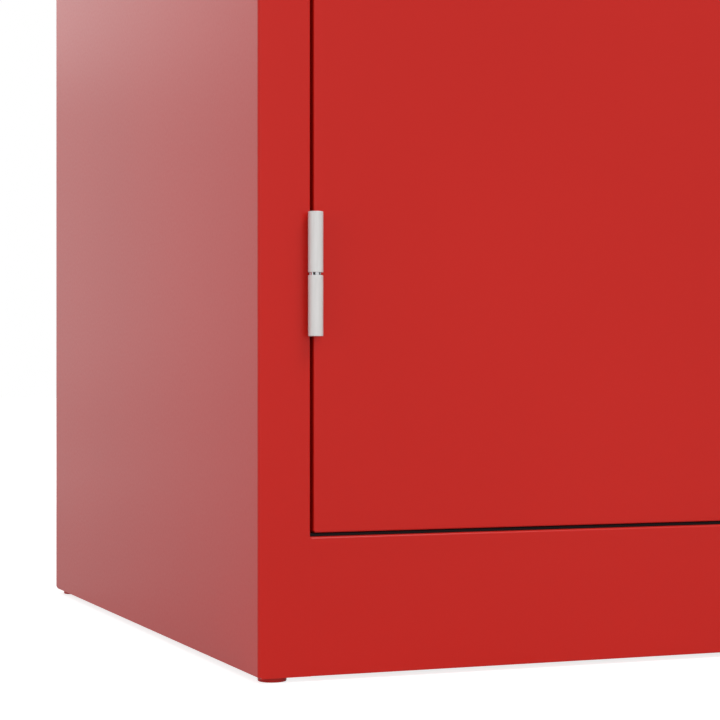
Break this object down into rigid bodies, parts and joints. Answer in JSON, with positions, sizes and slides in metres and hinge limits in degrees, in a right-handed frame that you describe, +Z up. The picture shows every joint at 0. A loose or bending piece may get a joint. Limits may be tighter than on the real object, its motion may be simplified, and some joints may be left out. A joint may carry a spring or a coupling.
{
  "type": "heavy-duty storage cabinet",
  "caption": "Tall steel storage cabinet: folded body on screw feet, flush inset doors on barrel hinges, lever-worked rod latch, slotted uprights and shelves on clips.",
  "frame": {"origin": "on the ground under the middle of the cabinet, feet, handle and screw heads included", "axes": "+Z up, +X to the right seen from the front, the doors face -Y"},
  "size_m": [1, 0.6348, 1.9535],
  "materials": {
    "red_paint": "semi-gloss powder coat",
    "foot_paint": "semi-gloss paint",
    "hinge_steel": "satin bare steel",
    "polished_steel": "ground steel",
    "zinc_plate": "bright zinc plate",
    "galvanised_sheet": "galvanised",
    "satin_nickel": "satin nickel",
    "nylon": "moulded",
    "rubber": "matt"
  },
  "bodies": {
    "cabinet": {"left_side_panel": "red_paint", "right_side_panel": "red_paint", "top_panel": "red_paint", "back_panel": "red_paint", "header_rail": "red_paint", "front_plinth": "red_paint", "rear_plinth": "red_paint", "floor_panel": "red_paint", "front_left_upright": "galvanised_sheet", "rear_left_upright": "galvanised_sheet", "front_right_upright": "galvanised_sheet", "rear_right_upright": "galvanised_sheet", "shelf_1": "galvanised_sheet", "shelf_2": "galvanised_sheet", "shelf_3": "galvanised_sheet", "shelf_4": "galvanised_sheet", "shelf_clips": "zinc_plate", "foot_plates": "zinc_plate", "foot_nuts": "zinc_plate", "back_screws": "zinc_plate", "door_bumpers": "rubber", "left_lower_frame_knuckle": "hinge_steel", "left_middle_frame_knuckle": "hinge_steel", "left_upper_frame_knuckle": "hinge_steel", "right_lower_frame_knuckle": "hinge_steel", "right_middle_frame_knuckle": "hinge_steel", "right_upper_frame_knuckle": "hinge_steel", "hinge_pins": "polished_steel", "hinge_washers": "polished_steel"},
    "left_door": {"left_door_skin": "red_paint", "left_door_stiffener": "red_paint", "bolt_guides": "nylon", "left_lower_door_knuckle": "hinge_steel", "left_middle_door_knuckle": "hinge_steel", "left_upper_door_knuckle": "hinge_steel"},
    "right_door": {"right_door_skin": "red_paint", "right_door_stiffener": "red_paint", "handle_backplate": "satin_nickel", "handle_screws": "zinc_plate", "latch_plate": "zinc_plate", "rod_guides": "nylon", "right_lower_door_knuckle": "hinge_steel", "right_middle_door_knuckle": "hinge_steel", "right_upper_door_knuckle": "hinge_steel"},
    "handle": {"handle_lever": "satin_nickel", "spindle": "polished_steel", "crank_disc": "zinc_plate", "crank_screw": "zinc_plate"},
    "lock_plug": {"lock_plug": "satin_nickel"},
    "upper_rod": {"upper_rod": "zinc_plate"},
    "lower_rod": {"lower_rod": "zinc_plate"},
    "top_bolt": {"top_bolt": "polished_steel"},
    "bottom_bolt": {"bottom_bolt": "polished_steel"},
    "front_left_foot": {"front_left_foot": "foot_paint"},
    "front_right_foot": {"front_right_foot": "foot_paint"},
    "rear_left_foot": {"rear_left_foot": "foot_paint"},
    "rear_right_foot": {"rear_right_foot": "foot_paint"}
  },
  "joints": [
    {"name": "left_door_hinge", "type": "hinge", "parent": "cabinet", "child": "left_door", "pos_m": [-0.4628, -0.29105, 1], "axis": [0, 0, -1], "range_deg": [0, 175]},
    {"name": "right_door_hinge", "type": "hinge", "parent": "cabinet", "child": "right_door", "pos_m": [0.4628, -0.29105, 1], "axis": [0, 0, 1], "range_deg": [0, 175]},
    {"name": "handle_turn", "type": "hinge", "parent": "right_door", "child": "handle", "pos_m": [0.0555, -0.28505, 1.0035], "axis": [0, 1, 0], "range_deg": [0, 90]},
    {"name": "upper_rod_slide", "type": "slide", "parent": "right_door", "child": "upper_rod", "axis": [0, 0, 1], "range_m": [0, 0.0198]},
    {"name": "lower_rod_slide", "type": "slide", "parent": "right_door", "child": "lower_rod", "axis": [0, 0, -1], "range_m": [0, 0.0198]},
    {"name": "lock_plug_turn", "type": "hinge", "parent": "handle", "child": "lock_plug", "pos_m": [0.0555, -0.31735, 1.0035], "axis": [0, 1, 0], "range_deg": [0, 90]},
    {"name": "top_bolt_slide", "type": "slide", "parent": "left_door", "child": "top_bolt", "axis": [0, 0, 1], "range_m": [0, 0.02]},
    {"name": "bottom_bolt_slide", "type": "slide", "parent": "left_door", "child": "bottom_bolt", "axis": [0, 0, -1], "range_m": [0, 0.02]},
    {"name": "front_left_foot_turn", "type": "hinge", "parent": "cabinet", "child": "front_left_foot", "pos_m": [-0.4858, -0.27085, 0], "axis": [0, 0, 1], "continuous": true},
    {"name": "front_right_foot_turn", "type": "hinge", "parent": "cabinet", "child": "front_right_foot", "pos_m": [0.4858, -0.27085, 0], "axis": [0, 0, 1], "continuous": true},
    {"name": "rear_left_foot_turn", "type": "hinge", "parent": "cabinet", "child": "rear_left_foot", "pos_m": [-0.4858, 0.30075, 0], "axis": [0, 0, 1], "continuous": true},
    {"name": "rear_right_foot_turn", "type": "hinge", "parent": "cabinet", "child": "rear_right_foot", "pos_m": [0.4858, 0.30075, 0], "axis": [0, 0, 1], "continuous": true}
  ],
  "couplings": [
    {"joint": "upper_rod_slide", "follows": "handle_turn", "m_per_rad": 0.012604},
    {"joint": "lower_rod_slide", "follows": "handle_turn", "m_per_rad": 0.012604}
  ]
}
